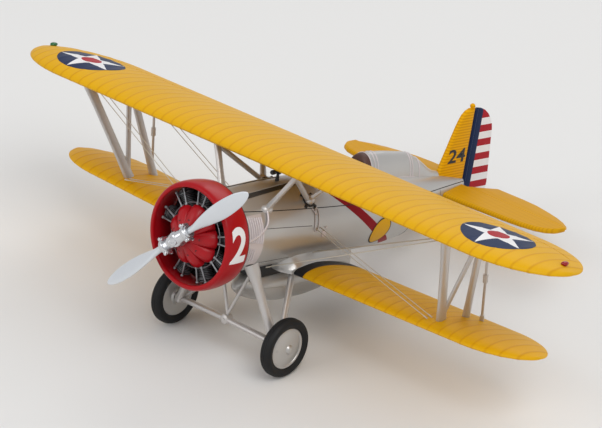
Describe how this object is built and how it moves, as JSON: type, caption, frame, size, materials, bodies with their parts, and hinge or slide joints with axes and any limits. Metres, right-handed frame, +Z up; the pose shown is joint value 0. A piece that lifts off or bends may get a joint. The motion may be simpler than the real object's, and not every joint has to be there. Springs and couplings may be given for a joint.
{
  "type": "scale model biplane",
  "caption": "Static display model of a single-bay biplane with radial engine, ring cowl, wire bracing, fixed wheels, belly tank and striped rudder.",
  "frame": {"origin": "centre of the bounding box, on the ground under the wheels", "axes": "+X to the nose, +Y to the left wing tip, +Z up"},
  "size_m": [0.1278, 0.1864, 0.0585],
  "materials": {
    "black_plastic": "matte black",
    "bright_steel": "bright metal",
    "brown_pad": "matte brown",
    "clear_screen": "clear",
    "green_lamp": "clear green",
    "interior_green": "matte grey green",
    "red_lamp": "clear red",
    "red_paint": "gloss red paint",
    "rudder_paint": "gloss striped paint, blue, red and white",
    "seat_grey": "matte grey",
    "silver_paint": "satin silver paint",
    "tyre_rubber": "matte black rubber",
    "yellow_paint": "gloss yellow paint"
  },
  "bodies": {
    "airframe": {"aileron_pushrod_left": "bright_steel", "aileron_pushrod_right": "bright_steel", "belly_tank": "silver_paint", "cabane_strut_left": "silver_paint", "cabane_strut_right": "silver_paint", "centre_brace": "silver_paint", "cockpit_tub": "interior_green", "control_stick": "black_plastic", "crankcase_cover": "red_paint", "engine_block": "black_plastic", "fin": "yellow_paint", "firewall": "black_plastic", "flying_wires_front_left": "bright_steel", "flying_wires_front_right": "bright_steel", "flying_wires_rear_left": "bright_steel", "flying_wires_rear_right": "bright_steel", "forward_deck": "silver_paint", "fuselage_shell": "silver_paint", "gear_legs_left": "silver_paint", "gear_legs_right": "silver_paint", "gunsight": "black_plastic", "headrest_deck": "silver_paint", "headrest_pad": "brown_pad", "instrument_panel": "black_plastic", "interplane_strut_left": "silver_paint", "interplane_strut_right": "silver_paint", "landing_wires_left": "bright_steel", "landing_wires_right": "bright_steel", "louvre_panel_left": "silver_paint", "louvre_panel_right": "silver_paint", "lower_wing_left": "yellow_paint", "lower_wing_right": "yellow_paint", "navigation_light_left": "red_lamp", "navigation_light_right": "green_lamp", "pilot_seat": "seat_grey", "pushrod_ring": "bright_steel", "ring_cowl": "red_paint", "root_fairing_left": "silver_paint", "root_fairing_right": "silver_paint", "spreader_bar": "silver_paint", "tailplane_left": "yellow_paint", "tailplane_right": "yellow_paint", "upper_wing": "yellow_paint", "windscreen": "clear_screen"},
    "propeller": {"propeller_shaft": "bright_steel", "propeller_hub": "bright_steel", "propeller_blade_left": "bright_steel", "propeller_blade_right": "bright_steel"},
    "wheel_left": {"tyre_left": "tyre_rubber", "wheel_disc_left": "silver_paint"},
    "wheel_right": {"tyre_right": "tyre_rubber", "wheel_disc_right": "silver_paint"},
    "rudder": {"rudder": "rudder_paint"},
    "elevators": {"elevator_left": "yellow_paint", "elevator_right": "yellow_paint", "elevator_tube": "bright_steel"},
    "tail_fork": {"tail_fork": "silver_paint"},
    "tail_wheel": {"tail_wheel": "tyre_rubber"}
  },
  "joints": [
    {"name": "propeller_spin", "type": "hinge", "parent": "airframe", "child": "propeller", "pos_m": [0.05907, 0, 0.03936], "axis": [0.9728, 0, 0.2317], "continuous": true},
    {"name": "wheel_left_spin", "type": "hinge", "parent": "airframe", "child": "wheel_left", "pos_m": [0.04075, 0.0198, 0.00796], "axis": [0, 1, 0], "continuous": true},
    {"name": "wheel_right_spin", "type": "hinge", "parent": "airframe", "child": "wheel_right", "pos_m": [0.04075, -0.0198, 0.00796], "axis": [0, 1, 0], "continuous": true},
    {"name": "rudder_swing", "type": "hinge", "parent": "airframe", "child": "rudder", "pos_m": [-0.05202, 0, 0.0129], "axis": [-0.2317, 0, 0.9728], "range_deg": [-25, 25]},
    {"name": "elevator_swing", "type": "hinge", "parent": "airframe", "child": "elevators", "pos_m": [-0.05008, 0, 0.01295], "axis": [0, 1, 0], "range_deg": [-25, 25]},
    {"name": "tail_fork_swivel", "type": "hinge", "parent": "airframe", "child": "tail_fork", "pos_m": [-0.04518, 0, 0.00836], "axis": [-0.2317, 0, 0.9728], "continuous": true},
    {"name": "tail_wheel_spin", "type": "hinge", "parent": "tail_fork", "child": "tail_wheel", "pos_m": [-0.04636, 0, 0.00206], "axis": [0, 1, 0], "continuous": true}
  ]
}
